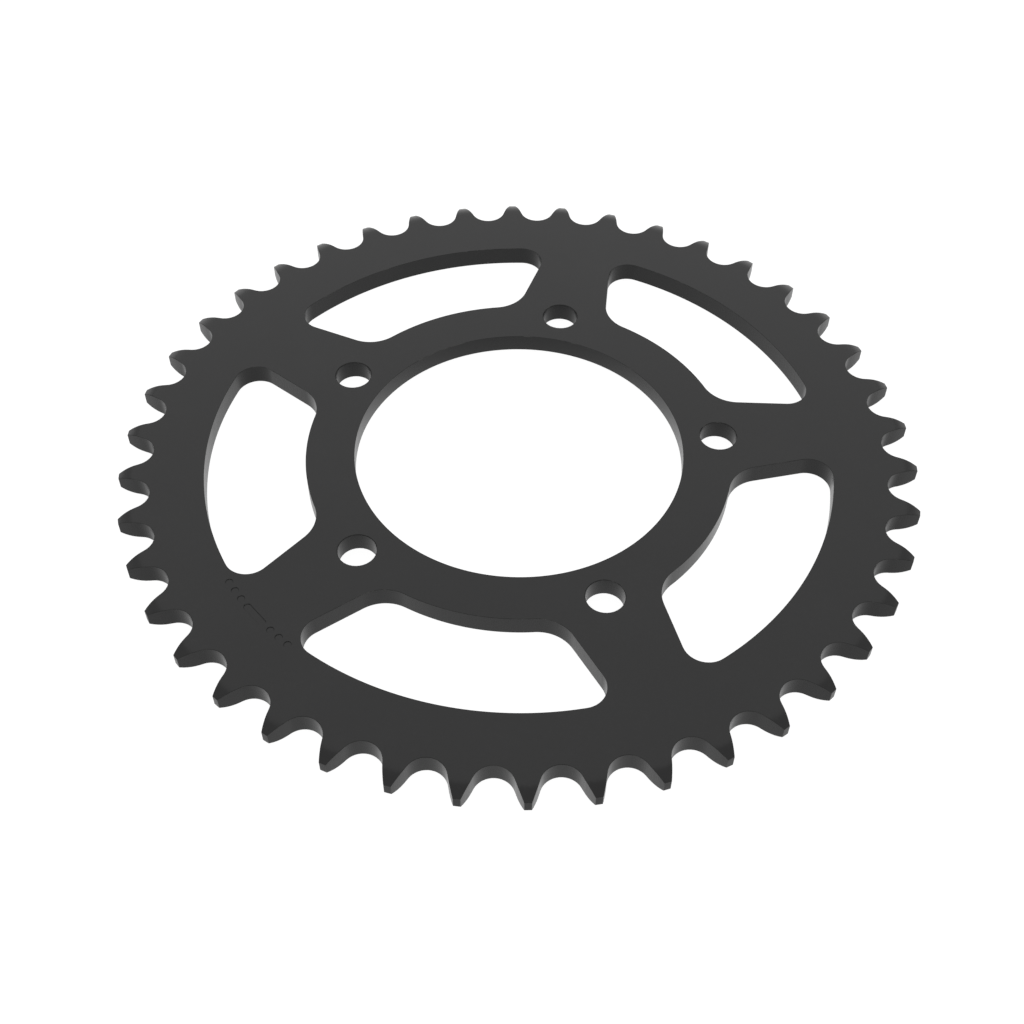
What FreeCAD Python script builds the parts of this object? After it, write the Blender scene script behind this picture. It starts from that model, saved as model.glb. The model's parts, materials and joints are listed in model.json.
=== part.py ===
import FreeCAD, Part
import math
import os

# Rear sprocket for a motorcycle's roller chain, cut from one piece of steel plate: a toothed rim,
# five spokes and a bolt ring around a plain pilot bore. Lengths are in millimetres and angles in
# degrees. The origin is on the bore's axis at the wheel side's face. +Z points away from the wheel,
# through the outer face, and +X runs through the first bolt hole.

# Chain and teeth: a 520 chain, with the tooth form of the roller chain standard.
CHAIN_PITCH = 15.875
TOOTH_COUNT = 42
SEAT_RADIUS = 5.2
FLANK_RADIUS = 45.0
TIP_DIAMETER = 219.8
TIP_WIDTH = 3.35
SIDE_RELIEF_RADIUS = 9.0
FIRST_TOOTH_ANGLE = 0.28

# Plate, pilot bore and bolt circle. The chamfer leads the bore onto the wheel's spigot.
PLATE_THICKNESS = 5.8
BORE_DIAMETER = 91.0
BORE_CHAMFER = 0.6
BOLT_COUNT = 5
BOLT_CIRCLE_DIAMETER = 112.0
BOLT_HOLE_DIAMETER = 10.3
BOLT_HOLE_CHAMFER = 0.2

# Windows between the spokes. Each side of a spoke passes SPOKE_HALF_WIDTH from the spoke's middle
# at SPOKE_STATION from the bore's axis, and leans in by SPOKE_TAPER towards the rim.
WINDOW_INNER_RADIUS = 58.9
WINDOW_OUTER_RADIUS = 86.5
WINDOW_INNER_FILLET = 10.2
WINDOW_OUTER_FILLET = 6.2
SPOKE_HALF_WIDTH = 10.3
SPOKE_STATION = 82.4
SPOKE_TAPER = 7.15

# Punched mark on the outer face, centred on one spoke: a bar between two rows of round dots.
MARK_SPOKE = 3
MARK_RADIUS = 88.0
MARK_DEPTH = 0.2
MARK_DOT_DIAMETER = 2.0
MARK_DOTS_EACH_SIDE = 3
MARK_STEP = 2.1
MARK_BAR_LENGTH = 6.5

# Cutting tools run this far past what they cut.
OVERRUN = 1.0

Z_AXIS = FreeCAD.Vector(0, 0, 1)
ORIGIN = FreeCAD.Vector(0, 0, 0)
PITCH_RADIUS = CHAIN_PITCH / 2 / math.sin(math.pi / TOOTH_COUNT)
SEATING_ANGLE = 140.0 - 90.0 / TOOTH_COUNT
TOOTH_STEP = 360.0 / TOOTH_COUNT
BOLT_STEP = 360.0 / BOLT_COUNT
TIP_RADIUS = TIP_DIAMETER / 2
BORE_RADIUS = BORE_DIAMETER / 2


def polar(radius, angle, centre=ORIGIN):
    """The point at a radius and an angle about a centre."""
    turn = math.radians(angle)
    return centre + FreeCAD.Vector(radius * math.cos(turn), radius * math.sin(turn), 0)


def mirrored(point):
    """The point's twin across the X axis."""
    return FreeCAD.Vector(point.x, -point.y, point.z)


def arc(centre, start, end):
    """The shorter arc about a centre from one point to another."""
    towards_start = start - centre
    towards_middle = (towards_start + (end - centre)).normalize()
    middle = centre + towards_middle * towards_start.Length
    return Part.Arc(start, middle, end).toShape()


def line(start, end):
    """A straight edge."""
    return Part.LineSegment(start, end).toShape()


def prism(edges):
    """The tool that an outline sweeps through the plate, past both faces."""
    tool = Part.Face(Part.Wire(edges)).extrude(Z_AXIS * (PLATE_THICKNESS + 2 * OVERRUN))
    tool.translate(Z_AXIS * -OVERRUN)
    return tool


def turned(shape, angle):
    """A copy of the shape, turned about the bore's axis."""
    copy = shape.copy()
    copy.rotate(ORIGIN, Z_AXIS, angle)
    return copy


def ring_of(shape, count, first_angle):
    """Copies of the shape, evenly spaced about the bore's axis."""
    return [turned(shape, first_angle + 360.0 * i / count) for i in range(count)]


def turned_blank():
    """The plate as it leaves the lathe: bored, chamfered and relieved at its rim on both sides."""
    depth = (PLATE_THICKNESS - TIP_WIDTH) / 2
    reach = math.sqrt(SIDE_RELIEF_RADIUS ** 2 - (SIDE_RELIEF_RADIUS - depth) ** 2)
    relief_start = TIP_RADIUS - reach
    top = PLATE_THICKNESS

    def at(radius, height):
        return FreeCAD.Vector(radius, 0, height)

    section = [
        line(at(BORE_RADIUS, BORE_CHAMFER), at(BORE_RADIUS + BORE_CHAMFER, 0)),
        line(at(BORE_RADIUS + BORE_CHAMFER, 0), at(relief_start, 0)),
        arc(at(relief_start, SIDE_RELIEF_RADIUS), at(relief_start, 0), at(TIP_RADIUS, depth)),
        line(at(TIP_RADIUS, depth), at(TIP_RADIUS, top - depth)),
        arc(at(relief_start, top - SIDE_RELIEF_RADIUS), at(TIP_RADIUS, top - depth), at(relief_start, top)),
        line(at(relief_start, top), at(BORE_RADIUS, top)),
        line(at(BORE_RADIUS, top), at(BORE_RADIUS, BORE_CHAMFER)),
    ]
    return Part.Face(Part.Wire(section)).revolve(ORIGIN, Z_AXIS, 360)


def tooth_gap():
    """The gap between two teeth, on the X axis: a roller's seat with a convex flank on each side."""
    seat_centre = polar(PITCH_RADIUS, 0)
    seat_end_angle = 180.0 - SEATING_ANGLE / 2
    seat_end = polar(SEAT_RADIUS, seat_end_angle, seat_centre)
    flank_centre = polar(SEAT_RADIUS + FLANK_RADIUS, seat_end_angle, seat_centre)

    # The flank runs on to a circle outside the tooth tips.
    outer = TIP_RADIUS + OVERRUN
    away = flank_centre.Length
    opening = math.acos((away ** 2 + outer ** 2 - FLANK_RADIUS ** 2) / (2 * away * outer))
    flank_end = polar(outer, math.degrees(math.atan2(flank_centre.y, flank_centre.x) - opening))

    return prism([
        arc(flank_centre, flank_end, seat_end),
        arc(seat_centre, seat_end, mirrored(seat_end)),
        arc(mirrored(flank_centre), mirrored(seat_end), mirrored(flank_end)),
        line(mirrored(flank_end), flank_end),
    ])


def window():
    """The opening between two spokes, with its middle on the X axis."""
    lean = BOLT_STEP / 2 + SPOKE_TAPER
    along = polar(1, lean)
    into = polar(1, lean - 90)
    on_side = polar(SPOKE_STATION, BOLT_STEP / 2) + polar(SPOKE_HALF_WIDTH, BOLT_STEP / 2 - 90)

    def fillet_centre(fillet, from_axis):
        """The centre that touches the spoke's side, at a distance from the bore's axis."""
        start = on_side + into * fillet
        ahead = start.dot(along)
        return start + along * (math.sqrt(ahead ** 2 - start.dot(start) + from_axis ** 2) - ahead)

    outer = fillet_centre(WINDOW_OUTER_FILLET, WINDOW_OUTER_RADIUS - WINDOW_OUTER_FILLET)
    inner = fillet_centre(WINDOW_INNER_FILLET, WINDOW_INNER_RADIUS + WINDOW_INNER_FILLET)
    on_rim = outer * (WINDOW_OUTER_RADIUS / outer.Length)
    on_hub = inner * (WINDOW_INNER_RADIUS / inner.Length)
    side_at_rim = outer - into * WINDOW_OUTER_FILLET
    side_at_hub = inner - into * WINDOW_INNER_FILLET

    return prism([
        arc(ORIGIN, mirrored(on_rim), on_rim),
        arc(outer, on_rim, side_at_rim),
        line(side_at_rim, side_at_hub),
        arc(inner, side_at_hub, on_hub),
        arc(ORIGIN, on_hub, mirrored(on_hub)),
        arc(mirrored(inner), mirrored(on_hub), mirrored(side_at_hub)),
        line(mirrored(side_at_hub), mirrored(side_at_rim)),
        arc(mirrored(outer), mirrored(side_at_rim), mirrored(on_rim)),
    ])


def bolt_hole():
    """A plain bolt hole on the X axis, with its edge broken on both faces."""
    radius = BOLT_HOLE_DIAMETER / 2
    wide = radius + BOLT_HOLE_CHAMFER
    place = FreeCAD.Vector(BOLT_CIRCLE_DIAMETER / 2, 0, 0)
    top = place + Z_AXIS * (PLATE_THICKNESS - BOLT_HOLE_CHAMFER)
    drill = Part.makeCylinder(radius, PLATE_THICKNESS + 2 * OVERRUN, place - Z_AXIS * OVERRUN)
    below = Part.makeCone(wide, radius, BOLT_HOLE_CHAMFER, place)
    above = Part.makeCone(radius, wide, BOLT_HOLE_CHAMFER, top)
    return drill.fuse([below, above])


def punched_mark():
    """The tools that punch the mark: round dots and one round-ended bar."""
    radius = MARK_DOT_DIAMETER / 2
    floor = PLATE_THICKNESS - MARK_DEPTH
    height = MARK_DEPTH + OVERRUN
    middle = MARK_SPOKE * BOLT_STEP
    bar_half_angle = math.degrees(MARK_BAR_LENGTH / 2 / MARK_RADIUS)

    def dot(angle):
        return Part.makeCylinder(radius, height, polar(MARK_RADIUS, angle) + Z_AXIS * floor)

    shank = Part.makeBox(MARK_DOT_DIAMETER, MARK_BAR_LENGTH, height)
    shank.translate(FreeCAD.Vector(MARK_RADIUS - radius, -MARK_BAR_LENGTH / 2, floor))
    ends = [dot(middle + side * bar_half_angle) for side in (-1, 1)]
    tools = [turned(shank, middle).fuse(ends)]
    for i in range(1, MARK_DOTS_EACH_SIDE + 1):
        for side in (-1, 1):
            tools.append(dot(middle + side * (bar_half_angle + i * MARK_STEP)))
    return tools


def sprocket_plate():
    """The whole sprocket, which is one piece of steel."""
    plate = turned_blank()
    plate = plate.cut(ring_of(tooth_gap(), TOOTH_COUNT, FIRST_TOOTH_ANGLE + TOOTH_STEP / 2))
    plate = plate.cut(ring_of(window(), BOLT_COUNT, BOLT_STEP / 2))
    plate = plate.cut(ring_of(bolt_hole(), BOLT_COUNT, 0))
    plate = plate.cut(punched_mark())
    return plate.Solids[0]


os.makedirs("parts", exist_ok=True)
plate = sprocket_plate()
plate.exportStep("parts/sprocket_plate.step")
print("sprocket_plate", "valid" if plate.isValid() else "NOT VALID", round(plate.Volume), "mm3")
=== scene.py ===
"""Rear sprocket of a motorcycle: a detailed mesh, its black coated finishes and a plain studio.

The sprocket is one piece of steel plate. Its outer skin is drawn flat, as a web and a ring of
teeth, and is doubled onto the wheel side to close the body. The bore and the bolt holes are then
chamfered, every other edge is broken, and a generic mark is punched into the outer face.
"""

import json
import logging
import math
from dataclasses import dataclass, field
from enum import IntEnum
from typing import Any, Union

import bmesh
import bpy
from bmesh.types import BMEdge, BMesh, BMFace, BMVert
from mathutils import Matrix, Vector


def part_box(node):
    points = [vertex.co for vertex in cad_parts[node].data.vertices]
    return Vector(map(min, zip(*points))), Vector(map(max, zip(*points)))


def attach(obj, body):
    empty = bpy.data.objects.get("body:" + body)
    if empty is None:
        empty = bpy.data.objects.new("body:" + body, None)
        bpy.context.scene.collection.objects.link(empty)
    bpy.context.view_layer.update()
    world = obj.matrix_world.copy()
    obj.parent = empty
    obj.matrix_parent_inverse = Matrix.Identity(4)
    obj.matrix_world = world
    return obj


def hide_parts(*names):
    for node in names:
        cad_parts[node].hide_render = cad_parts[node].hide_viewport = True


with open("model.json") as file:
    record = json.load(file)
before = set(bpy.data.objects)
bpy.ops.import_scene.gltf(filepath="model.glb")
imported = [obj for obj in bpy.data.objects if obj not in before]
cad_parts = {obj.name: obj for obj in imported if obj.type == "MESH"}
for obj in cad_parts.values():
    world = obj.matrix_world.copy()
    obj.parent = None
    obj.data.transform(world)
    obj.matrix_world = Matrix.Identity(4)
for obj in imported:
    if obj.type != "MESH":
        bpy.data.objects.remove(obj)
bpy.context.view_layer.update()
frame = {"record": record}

log = logging.getLogger("sprocket")

MM = 0.001
FULL_TURN = 2 * math.pi
UP = Vector((0, 0, 1))
CENTRE = Vector((0, 0, 0))
WELD = 0.002 * MM
PLATE_NODE = "sprocket_plate"

Number = Union[float, "Signal"]
Colour = Union[tuple[float, float, float, float], bpy.types.NodeSocket]
Size = Union[float, tuple[float, float, float]]
Span = tuple[float, float]

WHITE: Colour = (1, 1, 1, 1)
MIX_FACTOR, MIX_LOW, MIX_HIGH, MIX_RESULT = 0, 6, 7, 2


def polar(radius: float, angle: float, centre: Vector = CENTRE) -> Vector:
    """Place a point by its radius and angle about a centre.

    Args:
        radius: Distance from the centre, in metres.
        angle: Angle from +X, in radians.
        centre: The centre, in the plane of the point.

    Returns:
        The point.
    """
    return centre + Vector((radius * math.cos(angle), radius * math.sin(angle), 0))


def mount_sizes(name: str) -> dict[str, float]:
    """Look up the dimensions of one of the part's mounts.

    Args:
        name: The mount's name in the record.

    Returns:
        Its dimensions, under their names in the record.
    """
    return next(mount["dims"] for mount in frame["record"]["mounts"] if mount["name"] == name)


class Surface(IntEnum):
    """The kinds of surface on the plate, which are also its material slots."""

    FACE = 0
    TOOTH_WALL = 1
    TIP_LAND = 2
    WINDOW_WALL = 3
    BORE_WALL = 4
    MARK = 5
    EDGE = 6


# --------------------------------------------------------------------------------------------------
# Shader maths
# --------------------------------------------------------------------------------------------------


class Signal:
    """A number that varies over a surface, which adds Math nodes as it is used in expressions."""

    def __init__(self, graph: "Graph", socket: bpy.types.NodeSocket) -> None:
        """Wrap a node's output.

        Args:
            graph: The graph that the node is in.
            socket: The output that carries the number.
        """
        self.graph = graph
        self.socket = socket

    def _math(self, operation: str, first: Number, second: Number) -> "Signal":
        """Add a Math node of two inputs and return its result."""
        node = self.graph.node("ShaderNodeMath", {"operation": operation}, {0: first, 1: second})
        return Signal(self.graph, node.outputs[0])

    def __add__(self, other: Number) -> "Signal":
        """Add a number or a signal."""
        return self._math("ADD", self, other)

    def __radd__(self, other: float) -> "Signal":
        """Add this signal to a number."""
        return self._math("ADD", other, self)

    def __sub__(self, other: Number) -> "Signal":
        """Subtract a number or a signal."""
        return self._math("SUBTRACT", self, other)

    def __rsub__(self, other: float) -> "Signal":
        """Subtract this signal from a number."""
        return self._math("SUBTRACT", other, self)

    def __mul__(self, other: Number) -> "Signal":
        """Multiply by a number or a signal."""
        return self._math("MULTIPLY", self, other)

    def __rmul__(self, other: float) -> "Signal":
        """Multiply a number by this signal."""
        return self._math("MULTIPLY", other, self)

    def sine(self) -> "Signal":
        """Take the sine, with the signal in radians."""
        return self._math("SINE", self, 0.0)

    def step(self, span: Span) -> "Signal":
        """Rise smoothly from 0 to 1 across a span of values.

        Args:
            span: The value below which the result is 0, and the value above which it is 1.

        Returns:
            The eased signal.
        """
        inputs = {"Value": self, "From Min": span[0], "From Max": span[1]}
        node = self.graph.node("ShaderNodeMapRange", {"interpolation_type": "SMOOTHSTEP"}, inputs)
        return Signal(self.graph, node.outputs[0])


@dataclass(frozen=True)
class Speckle:
    """Smooth noise between 0 and 1, sized in millimetres all round or along each axis."""

    size: Size
    layers: float = 2.0
    rough: float = 0.5

    @property
    def scale(self) -> list[float]:
        """The number of blotches per metre along each axis."""
        sizes = self.size if isinstance(self.size, tuple) else (self.size,) * 3
        return [1 / MM / across for across in sizes]


class Graph:
    """The node tree of one finish, whose patterns are measured in millimetres on the object."""

    def __init__(self, name: str) -> None:
        """Start an empty material.

        Args:
            name: The material's name.
        """
        self.material = bpy.data.materials.new(name)
        self.material.use_nodes = True
        self.tree = self.material.node_tree
        self.tree.nodes.clear()
        self.place = self.node("ShaderNodeTexCoord", {}, {}).outputs["Object"]

    def node(self, kind: str, settings: dict[str, Any], inputs: dict[Any, Any]) -> bpy.types.Node:
        """Add one node.

        Args:
            kind: The node's type name.
            settings: Its properties, which are set before its sockets.
            inputs: The value, signal or output socket for each named or numbered input.

        Returns:
            The node.
        """
        node = self.tree.nodes.new(kind)
        for name, value in settings.items():
            setattr(node, name, value)
        for name, value in inputs.items():
            source = value.socket if isinstance(value, Signal) else value
            if isinstance(source, bpy.types.NodeSocket):
                self.tree.links.new(source, node.inputs[name])
            else:
                node.inputs[name].default_value = source
        return node

    def noise(self, speckle: Speckle) -> Signal:
        """Lay smooth noise over the object.

        Args:
            speckle: The noise's size and layers.

        Returns:
            The noise.
        """
        mapped = self.node("ShaderNodeMapping", {}, {"Vector": self.place, "Scale": speckle.scale})
        inputs = {
            "Vector": mapped.outputs[0],
            "Scale": 1.0,
            "Detail": speckle.layers,
            "Roughness": speckle.rough,
        }
        return Signal(self, self.node("ShaderNodeTexNoise", {}, inputs).outputs[0])

    def radius(self) -> Signal:
        """Measure the distance from the bore's axis.

        Returns:
            The distance, in millimetres.
        """
        flatten = {0: self.place, 1: (1 / MM, 1 / MM, 0)}
        flat = self.node("ShaderNodeVectorMath", {"operation": "MULTIPLY"}, flatten).outputs[0]
        length = self.node("ShaderNodeVectorMath", {"operation": "LENGTH"}, {0: flat})
        return Signal(self, length.outputs["Value"])

    def height(self) -> Signal:
        """Measure the height above the wheel side's face, in millimetres."""
        split = self.node("ShaderNodeSeparateXYZ", {}, {0: self.place})
        return Signal(self, split.outputs["Z"]) * (1 / MM)

    def blend(self, share: Signal, low: Colour, high: Colour) -> bpy.types.NodeSocket:
        """Mix two colours.

        Args:
            share: How much of the second colour there is.
            low: The first colour, or the output that carries it.
            high: The second colour, or the output that carries it.

        Returns:
            The mixed colour.
        """
        inputs = {MIX_FACTOR: share, MIX_LOW: low, MIX_HIGH: high}
        return self.node("ShaderNodeMix", {"data_type": "RGBA"}, inputs).outputs[MIX_RESULT]

    def bumped(self, height: Signal) -> bpy.types.NodeSocket:
        """Turn a height signal into a normal.

        Args:
            height: The height, in millimetres.

        Returns:
            The bumped normal.
        """
        inputs = {"Height": height, "Distance": MM, "Strength": 1.0}
        return self.node("ShaderNodeBump", {}, inputs).outputs[0]

    def finish(
        self,
        colour: bpy.types.NodeSocket,
        roughness: Signal,
        height: Signal,
        others: dict[str, Any],
    ) -> bpy.types.Material:
        """Close the graph with its shader.

        Args:
            colour: The base colour.
            roughness: The roughness.
            height: The height of the surface's detail, in millimetres.
            others: The shader's other inputs, by name.

        Returns:
            The finished material.
        """
        varying = {"Base Color": colour, "Roughness": roughness, "Normal": self.bumped(height)}
        shader = self.node("ShaderNodeBsdfPrincipled", {}, varying | others)
        self.node("ShaderNodeOutputMaterial", {}, {"Surface": shader.outputs[0]})
        return self.material


# --------------------------------------------------------------------------------------------------
# Finishes
# --------------------------------------------------------------------------------------------------


@dataclass(frozen=True)
class Coating:
    """Satin black coating on steel: what every finish of the plate has in common."""

    name: str
    deep: Colour = (0.0022, 0.0022, 0.0023, 1)
    dusty: Colour = (0.0052, 0.0052, 0.0054, 1)
    gloss: float = 0.24
    refraction: float = 1.5
    clouds: Speckle = Speckle(22.0, 4.0, 0.55)
    dust: Speckle = Speckle(0.9, 2.0, 0.6)
    dust_span: Span = (0.45, 0.8)
    dust_share: float = 0.25
    tone_span: Span = (0.3, 0.75)
    sheen_patches: Speckle = Speckle(13.2, 3.0)
    sheen_patch_spread: float = 0.1
    sheen_grain: Speckle = Speckle(0.84, 2.0, 0.6)
    sheen_grain_spread: float = 0.05
    bumps: Speckle = Speckle(0.42, 3.0, 0.6)
    bump_depth: float = 0.0016

    def tone(self, graph: Graph) -> bpy.types.NodeSocket:
        """Cloud and speckle the black slightly, as a dipped coating dries.

        Args:
            graph: The finish's graph.

        Returns:
            The colour.
        """
        dust = graph.noise(self.dust).step(self.dust_span) * self.dust_share
        share = graph.noise(self.clouds) * (1 - self.dust_share) + dust
        return graph.blend(share.step(self.tone_span), self.deep, self.dusty)

    def roughness(self, graph: Graph) -> Signal:
        """Vary the sheen in broad patches and in the grain.

        Args:
            graph: The finish's graph.

        Returns:
            The roughness.
        """
        patches = (graph.noise(self.sheen_patches) - 0.5) * self.sheen_patch_spread
        grain = (graph.noise(self.sheen_grain) - 0.5) * self.sheen_grain_spread
        return patches + grain + self.gloss

    def grain(self, graph: Graph) -> Signal:
        """Raise the fine grain of the coating, in millimetres."""
        return graph.noise(self.bumps) * self.bump_depth

    def material(self) -> bpy.types.Material:
        """Build a finish with nothing but the coating's own detail."""
        graph = Graph(self.name)
        return self.close(graph, self.roughness(graph), self.grain(graph))

    def close(self, graph: Graph, roughness: Signal, height: Signal) -> bpy.types.Material:
        """Close a coated finish.

        Args:
            graph: The finish's graph.
            roughness: The roughness.
            height: The height of the surface's detail, in millimetres.

        Returns:
            The finished material.
        """
        return graph.finish(self.tone(graph), roughness, height, {"IOR": self.refraction})


@dataclass(frozen=True)
class GroundFace(Coating):
    """The plate's two faces: faint scuffs, and turned rings on the rim's side relief."""

    relief_start: float = 105.4
    turned_span: Span = (-0.4, 0.8)
    ring_pitch: float = 0.45
    ring_depth: float = 0.002
    ring_waver: Speckle = Speckle(6.0, 1.0)
    ring_wander: float = 0.5
    scuffs: Speckle = Speckle((34.0, 0.35, 34.0), 2.0, 0.7)
    scuff_span: Span = (0.66, 0.8)
    scuff_shine: float = 0.05

    def material(self) -> bpy.types.Material:
        """Build the finish.

        Returns:
            The finished material.
        """
        graph = Graph(self.name)
        radius = graph.radius()
        along = radius + graph.noise(self.ring_waver) * self.ring_wander
        rings = (along * (FULL_TURN / self.ring_pitch)).sine() * (self.ring_depth / 2)
        scuffs = graph.noise(self.scuffs).step(self.scuff_span) * self.scuff_shine
        turned = (radius - self.relief_start).step(self.turned_span)
        return self.close(graph, self.roughness(graph) - scuffs, self.grain(graph) + rings * turned)


@dataclass(frozen=True)
class CutWall(Coating):
    """A wall that was cut across the plate's thickness, with streaks down it."""

    gloss: float = 0.28
    refraction: float = 1.36
    streaks: Speckle = Speckle((0.55, 0.55, 14.0), 3.0, 0.55)
    streak_depth: float = 0.012
    streak_shine: float = 0.12

    def material(self) -> bpy.types.Material:
        """Build the finish.

        Returns:
            The finished material.
        """
        graph = Graph(self.name)
        streaks = graph.noise(self.streaks)
        height = streaks * self.streak_depth + self.grain(graph)
        roughness = self.roughness(graph) + (streaks - 0.5) * self.streak_shine
        return self.close(graph, roughness, height)


@dataclass(frozen=True)
class TurnedWall(Coating):
    """A round wall that was turned or drilled, with fine rings around it."""

    gloss: float = 0.28
    refraction: float = 1.36
    ring_pitch: float = 0.3
    ring_depth: float = 0.004
    ring_waver: Speckle = Speckle(9.0, 1.0)
    ring_wander: float = 0.2

    def material(self) -> bpy.types.Material:
        """Build the finish.

        Returns:
            The finished material.
        """
        graph = Graph(self.name)
        along = graph.height() + graph.noise(self.ring_waver) * self.ring_wander
        rings = (along * (FULL_TURN / self.ring_pitch)).sine() * (self.ring_depth / 2)
        return self.close(graph, self.roughness(graph), rings + self.grain(graph))


@dataclass(frozen=True)
class RubbedEdge(Coating):
    """A broken edge, where the coating is thin and rubbed, and some steel shows through."""

    refraction: float = 1.4
    steel: Colour = (0.24, 0.235, 0.225, 1)
    rub_spots: Speckle = Speckle(2.6, 3.0, 0.6)
    rub_patches: Speckle = Speckle(17.0)
    patch_share: float = 0.4
    rub_span: Span = (0.5, 0.68)
    rub_share: float = 0.2
    rub_matt: float = 0.1

    def material(self) -> bpy.types.Material:
        """Build the finish.

        Returns:
            The finished material.
        """
        graph = Graph(self.name)
        spots = graph.noise(self.rub_spots) * (1 - self.patch_share)
        rub = (spots + graph.noise(self.rub_patches) * self.patch_share).step(self.rub_span)
        bare = rub * self.rub_share
        colour = graph.blend(bare, self.tone(graph), self.steel)
        roughness = self.roughness(graph) + rub * self.rub_matt
        others = {"IOR": self.refraction, "Metallic": bare}
        return graph.finish(colour, roughness, self.grain(graph), others)


@dataclass(frozen=True)
class LightTable:
    """The pale, matt top of a light table, which glows evenly and shows no shadow."""

    name: str = "studio_floor"
    pale: Colour = (0.15, 0.15, 0.15, 1)
    paler: Colour = (0.18, 0.18, 0.18, 1)
    patches: Speckle = Speckle(180.0)
    matt: float = 0.75
    matt_spread: float = 0.1
    bumps: Speckle = Speckle(2.0)
    bump_depth: float = 0.01
    glow: float = 0.95

    def material(self) -> bpy.types.Material:
        """Build the finish.

        Returns:
            The finished material.
        """
        graph = Graph(self.name)
        patches = graph.noise(self.patches)
        colour = graph.blend(patches, self.pale, self.paler)
        others = {"Emission Color": WHITE, "Emission Strength": self.glow}
        height = graph.noise(self.bumps) * self.bump_depth
        return graph.finish(colour, patches * self.matt_spread + self.matt, height, others)


# --------------------------------------------------------------------------------------------------
# Mesh tools
# --------------------------------------------------------------------------------------------------


class Pen:
    """Draws an outline of edges, one stroke after another."""

    def __init__(self, mesh: BMesh, start: Vector) -> None:
        """Put the pen down.

        Args:
            mesh: The mesh to draw in.
            start: The first point.
        """
        self.mesh = mesh
        self.tip: BMVert = mesh.verts.new(start)
        self.edges: list[BMEdge] = []

    def line(self, end: Vector) -> None:
        """Draw a straight stroke.

        Args:
            end: Where it ends.
        """
        stroke = bmesh.ops.extrude_vert_indiv(self.mesh, verts=[self.tip])
        self.tip = stroke["verts"][0]
        self.tip.co = end
        self.edges += stroke["edges"]

    def arc(self, centre: Vector, turn: float, steps: int) -> None:
        """Draw an arc.

        Args:
            centre: The arc's centre.
            turn: How far it turns, in radians, anticlockwise if positive.
            steps: How many segments it has.
        """
        before = set(self.mesh.edges)
        stroke = bmesh.ops.spin(
            self.mesh,
            geom=[self.tip],
            cent=centre,
            axis=UP,
            angle=turn,
            steps=steps,
            use_merge=False,
        )
        self.tip = next(item for item in stroke["geom_last"] if isinstance(item, BMVert))
        self.edges += [edge for edge in self.mesh.edges if edge not in before]


def all_of(mesh: BMesh) -> list[Any]:
    """List everything in a bmesh."""
    return mesh.verts[:] + mesh.edges[:] + mesh.faces[:]


def turn_about_axis(mesh: BMesh, verts: list[BMVert], angle: float) -> None:
    """Turn vertices about the bore's axis, by an angle in radians."""
    bmesh.ops.rotate(mesh, cent=CENTRE, matrix=Matrix.Rotation(angle, 3, "Z"), verts=verts)


def mirror_half(mesh: BMesh) -> None:
    """Mirror what is in a bmesh across the X axis, and weld it there."""
    bmesh.ops.mirror(mesh, geom=all_of(mesh), matrix=Matrix.Identity(4), merge_dist=WELD, axis="Y")


def ring_of(mesh: BMesh, count: int) -> None:
    """Copy what is in a bmesh evenly about the bore's axis, and weld the copies.

    Args:
        mesh: The bmesh, which holds the first of the ring.
        count: How many there are in the whole ring.
    """
    turn = FULL_TURN * (count - 1) / count
    bmesh.ops.spin(
        mesh,
        geom=all_of(mesh),
        cent=CENTRE,
        axis=UP,
        angle=turn,
        steps=count - 1,
        use_merge=False,
        use_duplicate=True,
    )
    bmesh.ops.remove_doubles(mesh, verts=mesh.verts, dist=WELD)


def to_data(mesh: BMesh, name: str) -> bpy.types.Mesh:
    """Turn a finished bmesh into mesh data, and free it.

    Args:
        mesh: The bmesh.
        name: The data's name.

    Returns:
        The mesh data.
    """
    data = bpy.data.meshes.new(name)
    mesh.to_mesh(data)
    mesh.free()
    return data


def to_object(mesh: BMesh, name: str) -> bpy.types.Object:
    """Turn a finished bmesh into an object of the scene, at the origin.

    Args:
        mesh: The bmesh, which is freed.
        name: The object's name.

    Returns:
        The object.
    """
    piece = bpy.data.objects.new(name, to_data(mesh, name))
    bpy.context.scene.collection.objects.link(piece)
    return piece


# --------------------------------------------------------------------------------------------------
# Sprocket
# --------------------------------------------------------------------------------------------------


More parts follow.
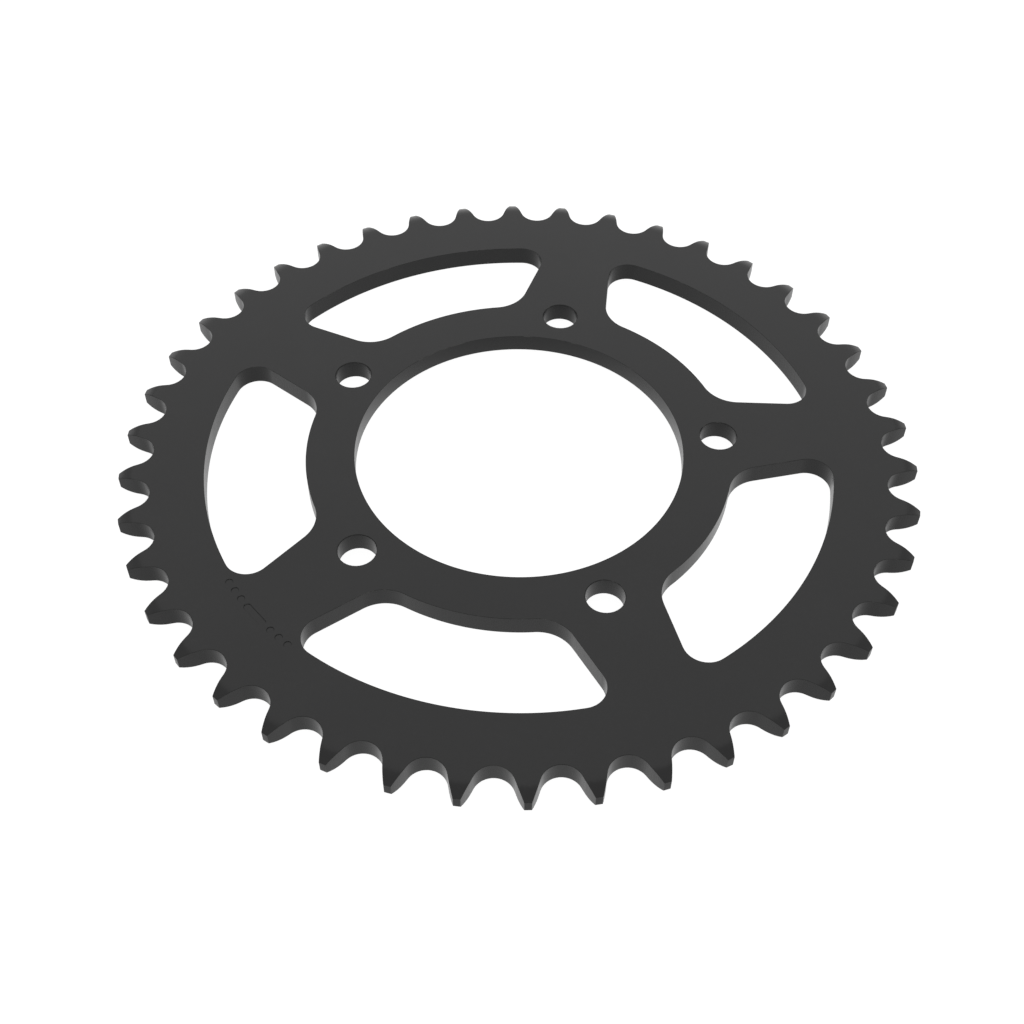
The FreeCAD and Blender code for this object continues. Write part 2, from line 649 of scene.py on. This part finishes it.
@dataclass(frozen=True)
class WindowShape:
    """The opening between two spokes, drawn from the middle line of the spoke before it."""

    inner_radius: float = 58.9 * MM
    outer_radius: float = 86.5 * MM
    inner_fillet: float = 10.2 * MM
    outer_fillet: float = 6.2 * MM
    spoke_half_width: float = 10.3 * MM
    spoke_station: float = 82.4 * MM
    taper: float = math.radians(7.15)
    rim_steps: int = 40
    fillet_steps: int = 18

    @property
    def into(self) -> Vector:
        """The direction from the spoke's side into the window."""
        return polar(1, math.pi / 2 - self.taper)

    def fillet_centre(self, fillet: float, from_axis: float) -> Vector:
        """Place a fillet so that it touches the spoke's side.

        Args:
            fillet: The fillet's radius.
            from_axis: The distance of its centre from the bore's axis.

        Returns:
            The fillet's centre.
        """
        along = polar(1, -self.taper)
        start = Vector((self.spoke_station, self.spoke_half_width, 0)) + self.into * fillet
        ahead = start.dot(along)
        return start + along * (math.sqrt(ahead**2 - start.dot(start) + from_axis**2) - ahead)

    def draw(self, pen: Pen, middle: float) -> None:
        """Draw half the window, from the middle of its outer arc to the middle of its inner arc.

        Args:
            pen: The pen, which is already on the outer arc's middle.
            middle: The angle of the window's middle line.
        """
        outer = self.fillet_centre(self.outer_fillet, self.outer_radius - self.outer_fillet)
        inner = self.fillet_centre(self.inner_fillet, self.inner_radius + self.inner_fillet)
        outer_angle = math.atan2(outer.y, outer.x)
        inner_angle = math.atan2(inner.y, inner.x)
        facing_spoke = -math.pi / 2 - self.taper
        pen.arc(CENTRE, outer_angle - middle, self.rim_steps)
        pen.arc(outer, facing_spoke - outer_angle, self.fillet_steps)
        pen.line(inner - self.into * self.inner_fillet)
        pen.arc(inner, inner_angle - math.pi - facing_spoke, self.fillet_steps)
        pen.arc(CENTRE, middle - inner_angle, self.rim_steps)


@dataclass(frozen=True)
class ToothShape:
    """One tooth of the rim, about its own middle line, with half a chain gap on each side.

    The roller's seat spans `seat_angle`, less `seat_narrowing` shared out among the teeth.
    """

    chain_pitch: float = 15.875 * MM
    count: int = 42
    tip_radius: float = 109.9 * MM
    seat_radius: float = 5.2 * MM
    seat_angle: float = math.radians(140)
    seat_narrowing: float = math.radians(90)
    flank_radius: float = 45.0 * MM
    first_angle: float = math.radians(0.28)
    land_steps: int = 1
    flank_steps: int = 6
    seat_steps: int = 8
    row_steps: int = 14

    @property
    def half_step(self) -> float:
        """The angle from the tooth's middle to the gap's middle."""
        return math.pi / self.count

    @property
    def half_columns(self) -> int:
        """The number of segments from the tooth's middle to the gap's middle."""
        return self.land_steps + self.flank_steps + self.seat_steps

    @property
    def land_reach(self) -> float:
        """The least distance from the bore's axis of the middle of a face on a tooth's tip."""
        return self.tip_radius * math.cos(self.half_step / self.half_columns)

    def draw_outline(self, pen: Pen) -> None:
        """Draw half the tooth, from the middle of its tip to the bottom of the gap.

        Args:
            pen: The pen, which is already on the tip's middle.
        """
        seat_half = (self.seat_angle - self.seat_narrowing / self.count) / 2
        seat_centre = polar(self.chain_pitch / 2 / math.sin(self.half_step), self.half_step)
        seat_end = self.half_step - math.pi + seat_half
        flank_centre = polar(self.seat_radius + self.flank_radius, seat_end, seat_centre)
        away = flank_centre.length
        spread = away**2 + self.tip_radius**2 - self.flank_radius**2
        opening = math.acos(spread / (2 * away * self.tip_radius))
        land = math.atan2(flank_centre.y, flank_centre.x) + opening
        corner = polar(self.tip_radius, land) - flank_centre
        pen.arc(CENTRE, land, self.land_steps)
        pen.arc(flank_centre, seat_end + math.pi - math.atan2(corner.y, corner.x), self.flank_steps)
        pen.arc(seat_centre, -seat_half, self.seat_steps)

    def draw(self, mesh: BMesh, root: float) -> None:
        """Lay the flat skin of one whole tooth.

        Args:
            mesh: The mesh to lay it in, which is empty.
            root: The radius where the tooth's skin meets the web's.
        """
        foot = Pen(mesh, polar(root, 0))
        foot.arc(CENTRE, self.half_step, self.half_columns)
        outline = Pen(mesh, polar(self.tip_radius, 0))
        self.draw_outline(outline)
        skin = bmesh.ops.bridge_loops(mesh, edges=foot.edges + outline.edges)
        rows = self.row_steps - 1
        bmesh.ops.subdivide_edges(mesh, edges=skin["edges"], cuts=rows, use_grid_fill=True)
        mirror_half(mesh)


@dataclass(frozen=True)
class PunchedMark:
    """A generic punched mark on the outer face: a bar between two rows of round dots."""

    middle: float
    radius: float = 88.0 * MM
    depth: float = 0.2 * MM
    dot_radius: float = 1.0 * MM
    draft: float = 0.1 * MM
    dots_each_side: int = 3
    step: float = math.radians(2.1)
    bar_length: float = 6.5 * MM
    overrun: float = 0.3 * MM
    sides: int = 40

    def punch(self, mesh: BMesh, level: float, angle: float, length: float) -> None:
        """Add one punch, whose sides narrow towards its flat end.

        Args:
            mesh: The mesh of the punches.
            level: The height of the plate's outer face.
            angle: The punch's angle from the mark's middle.
            length: How far the punch is drawn out into a bar.
        """
        height = self.depth + self.overrun
        made = bmesh.ops.create_cone(
            mesh,
            cap_ends=True,
            segments=self.sides,
            radius1=self.dot_radius - self.draft,
            radius2=self.dot_radius + self.draft * self.overrun / self.depth,
            depth=height,
            matrix=Matrix.Rotation(math.pi / self.sides, 4, "Z"),
        )
        for vert in made["verts"]:
            vert.co.y += math.copysign(length / 2, vert.co.y)
        place = Vector((self.radius, 0, level - self.depth + height / 2))
        bmesh.ops.translate(mesh, vec=place, verts=made["verts"])
        turn_about_axis(mesh, made["verts"], self.middle + angle)

    def build(self, level: float) -> bpy.types.Object:
        """Build the punches.

        Args:
            level: The height of the plate's outer face.

        Returns:
            One object that holds all the punches.
        """
        mesh = bmesh.new()
        half_bar = self.bar_length / 2 / self.radius
        self.punch(mesh, level, 0, self.bar_length)
        for side in (-1, 1):
            for dot in range(1, self.dots_each_side + 1):
                self.punch(mesh, level, side * (half_bar + dot * self.step), 0)
        for face in mesh.faces:
            face.material_index = Surface.MARK
        return to_object(mesh, "mark_punches")


@dataclass
class Plate:
    """The sprocket's one piece of steel: bolt ring, spokes, rim and teeth."""

    name: str = "coated_sprocket"
    web_radius: float = 97.0 * MM
    root_radius: float = 98.0 * MM
    tip_width: float = 3.35 * MM
    relief_radius: float = 9.0 * MM
    bore_chamfer: float = 0.6 * MM
    hole_chamfer: float = 0.2 * MM
    edge_break: float = 0.1 * MM
    edge_segments: int = 2
    bore_steps: int = 90
    hole_steps: int = 36
    mark_spoke: int = 3
    flat_rise: float = 0.5
    sharp_turn: float = math.radians(50)
    flat_weight: int = 100
    window: WindowShape = WindowShape()
    teeth: ToothShape = ToothShape()
    thickness: float = field(init=False)
    bore_radius: float = field(init=False)
    bolt_count: int = field(init=False)
    bolt_radius: float = field(init=False)
    hole_radius: float = field(init=False)

    def __post_init__(self) -> None:
        """Take the sizes that the frame holds: the part's thickness and its mounts."""
        low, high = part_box(PLATE_NODE)
        bolts = mount_sizes("bolt_circle")
        self.thickness = high.z - low.z
        self.bore_radius = mount_sizes("pilot_bore")["r_mm"] * MM
        self.bolt_count = int(bolts["count"])
        self.bolt_radius = bolts["pcd_mm"] * MM / 2
        self.hole_radius = bolts["hole_r_mm"] * MM

    @property
    def relief_start(self) -> float:
        """Find where the rim's side begins to be turned away.

        Returns:
            The distance from the bore's axis.
        """
        relief = (self.thickness - self.tip_width) / 2
        reach = math.sqrt(self.relief_radius**2 - (self.relief_radius - relief) ** 2)
        return self.teeth.tip_radius - reach

    def side_relief(self, radius: float) -> float:
        """Work out how far the rim's side is turned away at a radius.

        Args:
            radius: The distance from the bore's axis.

        Returns:
            The depth below the plate's face.
        """
        past = max(0.0, radius - self.relief_start)
        return self.relief_radius - math.sqrt(self.relief_radius**2 - past**2)

    def web_skin(self) -> BMesh:
        """Lay the flat skin of the web, with its bore, bolt holes and windows.

        Returns:
            The skin, in a new bmesh.
        """
        mesh = bmesh.new()
        middle = math.pi / self.bolt_count
        rim_steps = round(middle / self.teeth.half_step * self.teeth.half_columns)
        pen = Pen(mesh, polar(self.bore_radius, 0))
        pen.line(polar(self.bolt_radius - self.hole_radius, 0))
        pen.arc(polar(self.bolt_radius, 0), -math.pi, self.hole_steps // 2)
        pen.line(polar(self.web_radius, 0))
        pen.arc(CENTRE, middle, rim_steps)
        pen.line(polar(self.window.outer_radius, middle))
        self.window.draw(pen, middle)
        pen.line(polar(self.bore_radius, middle))
        pen.arc(CENTRE, -middle, self.bore_steps // 2)
        bmesh.ops.remove_doubles(mesh, verts=mesh.verts, dist=WELD)
        bmesh.ops.contextual_create(mesh, geom=mesh.edges[:])
        mirror_half(mesh)
        ring_of(mesh, self.bolt_count)
        return mesh

    def rim_skin(self, mesh: BMesh) -> None:
        """Lay the flat skin of all the teeth, and bridge it to the web's skin.

        Args:
            mesh: The mesh that holds the web's skin.
        """
        rim = bmesh.new()
        self.teeth.draw(rim, self.root_radius)
        ring_of(rim, self.teeth.count)
        turn_about_axis(rim, rim.verts[:], self.teeth.first_angle)
        loose = to_data(rim, "rim")
        mesh.from_mesh(loose)
        bpy.data.meshes.remove(loose)
        seam = [edge for edge in mesh.edges if edge.is_boundary and self.on_seam(edge)]
        bmesh.ops.bridge_loops(mesh, edges=seam)

    def on_seam(self, edge: BMEdge) -> bool:
        """Tell if an edge lies on one of the two circles where the web meets the teeth.

        Args:
            edge: The edge, on the flat skin.

        Returns:
            Whether it lies there.
        """
        radii = [vert.co.xy.length for vert in edge.verts]
        return min(radii) > self.web_radius - WELD and max(radii) < self.root_radius + WELD

    def thicken(self, mesh: BMesh) -> None:
        """Close the flat skin into a body: an outer skin, its twin on the wheel side, and walls.

        Args:
            mesh: The mesh that holds the whole skin.
        """
        sheet = bmesh.ops.extrude_face_region(mesh, geom=mesh.faces[:], use_keep_orig=True)
        outer = {item for item in sheet["geom"] if isinstance(item, BMVert)}
        for vert in mesh.verts:
            relief = self.side_relief(vert.co.xy.length)
            vert.co.z = self.thickness - relief if vert in outer else relief
        bmesh.ops.recalc_face_normals(mesh, faces=mesh.faces)

    def in_hole(self, point: Vector) -> bool:
        """Tell if a point of the body is on the wall of a bolt hole.

        Args:
            point: The point.

        Returns:
            Whether it is.
        """
        step = FULL_TURN / self.bolt_count
        turn = round(math.atan2(point.y, point.x) / step) * step
        return (point - polar(self.bolt_radius, turn)).xy.length < self.hole_radius + WELD

    def surface_of(self, face: BMFace) -> Surface:
        """Name the surface that a face of the sharp-edged body belongs to.

        Args:
            face: The face.

        Returns:
            The kind of surface.
        """
        middle = face.calc_center_median()
        radius = middle.xy.length
        if abs(face.normal.z) > self.flat_rise:
            return Surface.FACE
        if radius > self.teeth.land_reach:
            return Surface.TIP_LAND
        if radius > self.root_radius:
            return Surface.TOOTH_WALL
        if radius < self.bore_radius + WELD or self.in_hole(middle):
            return Surface.BORE_WALL
        return Surface.WINDOW_WALL

    def is_sharp(self, edge: BMEdge) -> bool:
        """Tell if the body turns sharply at an edge, by more than a chamfer does."""
        return edge.calc_face_angle(0) > self.sharp_turn

    @staticmethod
    def chamfer(
        mesh: BMesh, edges: list[BMEdge], width: float, segments: int, surface: Surface
    ) -> None:
        """Take off sharp edges, flat in one segment or rounded in more.

        Args:
            mesh: The body.
            edges: The sharp edges.
            width: How far the cut reaches along each face.
            segments: The number of flats across the cut.
            surface: The surface that the cut makes.
        """
        cut = bmesh.ops.bevel(
            mesh,
            geom=edges,
            offset=width,
            offset_type="OFFSET",
            affect="EDGES",
            segments=segments,
            profile=0.5,
            material=-1,
            clamp_overlap=True,
            loop_slide=True,
        )
        for face in cut["faces"]:
            face.material_index = surface

    def break_edges(self, mesh: BMesh) -> None:
        """Chamfer the bore and the bolt holes, then round every other sharp edge a little.

        Args:
            mesh: The sharp-edged body.
        """
        for face in mesh.faces:
            face.material_index = self.surface_of(face)
        bore = self.bore_radius + WELD
        lead_in = [
            edge
            for edge in mesh.edges
            if all(vert.co.z < WELD and vert.co.xy.length < bore for vert in edge.verts)
        ]
        self.chamfer(mesh, lead_in, self.bore_chamfer, 1, Surface.BORE_WALL)
        holes = [
            edge
            for edge in mesh.edges
            if self.is_sharp(edge) and all(self.in_hole(vert.co) for vert in edge.verts)
        ]
        self.chamfer(mesh, holes, self.hole_chamfer, 1, Surface.EDGE)
        rest = [edge for edge in mesh.edges if self.is_sharp(edge)]
        self.chamfer(mesh, rest, self.edge_break, self.edge_segments, Surface.EDGE)

    def stamp(self, plate: bpy.types.Object) -> None:
        """Punch the mark into the outer face.

        Args:
            plate: The plate, whose mesh is replaced.
        """
        middle = FULL_TURN * self.mark_spoke / self.bolt_count
        punches = PunchedMark(middle).build(self.thickness)
        press = plate.modifiers.new("mark", "BOOLEAN")
        press.operation = "DIFFERENCE"
        press.solver = "EXACT"
        press.object = punches
        depsgraph = bpy.context.evaluated_depsgraph_get()
        stamped = bpy.data.meshes.new_from_object(plate.evaluated_get(depsgraph))
        plate.modifiers.remove(press)
        plain = plate.data
        plate.data = stamped
        bpy.data.objects.remove(punches)
        bpy.data.meshes.remove(plain)
        stamped.name = self.name

    def shade(self, plate: bpy.types.Object) -> None:
        """Shade the body smooth, with its flats flat and the mark's edges crisp.

        Args:
            plate: The plate.
        """
        mesh = bmesh.new()
        mesh.from_mesh(plate.data)
        for face in mesh.faces:
            face.smooth = True
        for edge in mesh.edges:
            edge.smooth = not self.is_sharp(edge)
        mesh.to_mesh(plate.data)
        mesh.free()
        flats = plate.modifiers.new("flats", "WEIGHTED_NORMAL")
        flats.mode = "FACE_AREA"
        flats.weight = self.flat_weight
        flats.keep_sharp = True

    def finishes(self) -> dict[Surface, Coating]:
        """Choose the finish of each surface.

        Returns:
            The finishes, by surface.
        """
        return {
            Surface.FACE: GroundFace("face_black", relief_start=self.relief_start / MM),
            Surface.TOOTH_WALL: CutWall("tooth_wall_black", refraction=1.33),
            Surface.TIP_LAND: CutWall("tip_land_black", refraction=1.25),
            Surface.WINDOW_WALL: CutWall("window_wall_black"),
            Surface.BORE_WALL: TurnedWall("bore_wall_black"),
            Surface.MARK: Coating("mark_black"),
            Surface.EDGE: RubbedEdge("edge_black"),
        }

    def dress(self, plate: bpy.types.Object) -> None:
        """Fill the plate's material slots, in the order of its surfaces.

        Args:
            plate: The plate.
        """
        finishes = self.finishes()
        for surface in Surface:
            plate.data.materials.append(finishes[surface].material())

    def build(self) -> bpy.types.Object:
        """Build the plate and dress it.

        Returns:
            The finished piece, riding on the part's body.
        """
        mesh = self.web_skin()
        self.rim_skin(mesh)
        self.thicken(mesh)
        self.break_edges(mesh)
        plate = to_object(mesh, self.name)
        self.dress(plate)
        self.stamp(plate)
        self.shade(plate)
        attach(plate, "root")
        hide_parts(PLATE_NODE)
        return plate


# --------------------------------------------------------------------------------------------------
# Studio
# --------------------------------------------------------------------------------------------------


@dataclass(frozen=True)
class Direction:
    """Where something stands as seen from the plate."""

    azimuth: float
    elevation: float

    @property
    def unit(self) -> Vector:
        """The unit vector from the plate towards it."""
        return polar(math.cos(self.elevation), self.azimuth) + UP * math.sin(self.elevation)


@dataclass(frozen=True)
class SweptFloor:
    """The pale floor just under the plate, with its edge swept up into a wall all round."""

    name: str = "studio_floor"
    radius: float = 2.6
    sweep_radius: float = 1.2
    sweep_turn: float = math.radians(80)
    sweep_steps: int = 16
    wall_rise: float = 0.7
    round_steps: int = 96
    gap: float = 0.1 * MM
    finish: LightTable = LightTable()

    def build(self) -> bpy.types.Object:
        """Build the floor and dress it.

        Returns:
            The floor, set aside as part of the studio.
        """
        mesh = bmesh.new()
        section = Pen(mesh, CENTRE)
        section.line(Vector((self.radius, 0, 0)))
        section.arc(Vector((self.radius, self.sweep_radius, 0)), self.sweep_turn, self.sweep_steps)
        section.line(section.tip.co + polar(self.wall_rise, self.sweep_turn))
        upright = Matrix.Rotation(math.pi / 2, 3, "X")
        bmesh.ops.rotate(mesh, cent=CENTRE, matrix=upright, verts=mesh.verts)
        bmesh.ops.spin(
            mesh,
            geom=all_of(mesh),
            cent=CENTRE,
            axis=UP,
            angle=FULL_TURN,
            steps=self.round_steps,
            use_merge=True,
        )
        bmesh.ops.remove_doubles(mesh, verts=mesh.verts, dist=WELD)
        bmesh.ops.translate(mesh, vec=UP * -self.gap, verts=mesh.verts)
        bmesh.ops.recalc_face_normals(mesh, faces=mesh.faces)
        for face in mesh.faces:
            face.smooth = True
        floor = to_object(mesh, self.name)
        floor.data.materials.append(self.finish.material())
        return floor


@dataclass(frozen=True)
class Softbox:
    """A soft square light that faces the plate from behind it."""

    name: str = "far_softbox"
    stands: Direction = Direction(math.radians(85), math.radians(48))
    away: float = 1.6
    width: float = 1.6
    watts: float = 2.25

    def build(self) -> bpy.types.Object:
        """Hang the light.

        Returns:
            The light.
        """
        data = bpy.data.lights.new(self.name, "AREA")
        data.size = self.width
        data.energy = self.watts
        light = bpy.data.objects.new(self.name, data)
        bpy.context.scene.collection.objects.link(light)
        light.location = self.stands.unit * self.away
        light.rotation_euler = self.stands.unit.to_track_quat("Z", "Y").to_euler()
        return light


@dataclass(frozen=True)
class Viewpoint:
    """The camera, which looks down at the outer face."""

    lens: float = 50.0
    sensor: float = 36.0
    near: float = 0.01
    target: tuple[float, float, float] = (-3.934 * MM, -23.292 * MM, 5.8 * MM)
    stands: Direction = Direction(math.radians(-95.211), math.radians(49.362))
    away: float = 379.26 * MM
    roll: float = math.radians(0.349)

    def build(self) -> bpy.types.Object:
        """Set the camera up and look through it.

        Returns:
            The camera.
        """
        data = bpy.data.cameras.new("camera")
        data.lens = self.lens
        data.sensor_width = self.sensor
        data.clip_start = self.near
        camera = bpy.data.objects.new("camera", data)
        bpy.context.scene.collection.objects.link(camera)
        back = self.stands.unit
        level = back.to_track_quat("Z", "Y").to_matrix()
        camera.location = Vector(self.target) + back * self.away
        camera.rotation_euler = (level @ Matrix.Rotation(self.roll, 3, "Z")).to_euler()
        bpy.context.scene.camera = camera
        return camera


@dataclass(frozen=True)
class Studio:
    """A plain, even white room around the plate, with its floor, light and camera."""

    room_glow: float = 0.69
    floor: SweptFloor = SweptFloor()
    softbox: Softbox = Softbox()
    viewpoint: Viewpoint = Viewpoint()

    def fill_room(self) -> None:
        """Light the plate evenly from all round."""
        world = bpy.data.worlds.new("studio_room")
        world.use_nodes = True
        background = world.node_tree.nodes["Background"]
        background.inputs["Color"].default_value = WHITE
        background.inputs["Strength"].default_value = self.room_glow
        bpy.context.scene.world = world

    def build(self) -> None:
        """Set the whole studio up."""
        self.fill_room()
        for item in (self.floor, self.softbox, self.viewpoint):
            made = item.build()
            log.info("%s is set up", made.name)
        bpy.context.scene.view_settings.view_transform = "Standard"


def main() -> None:
    """Build the plate and the studio, and report each piece."""
    logging.basicConfig(level=logging.INFO, format="%(name)s: %(message)s")
    plate = Plate().build()
    log.info("%s has %d faces", plate.name, len(plate.data.polygons))
    Studio().build()


if __name__ == "__main__":
    main()
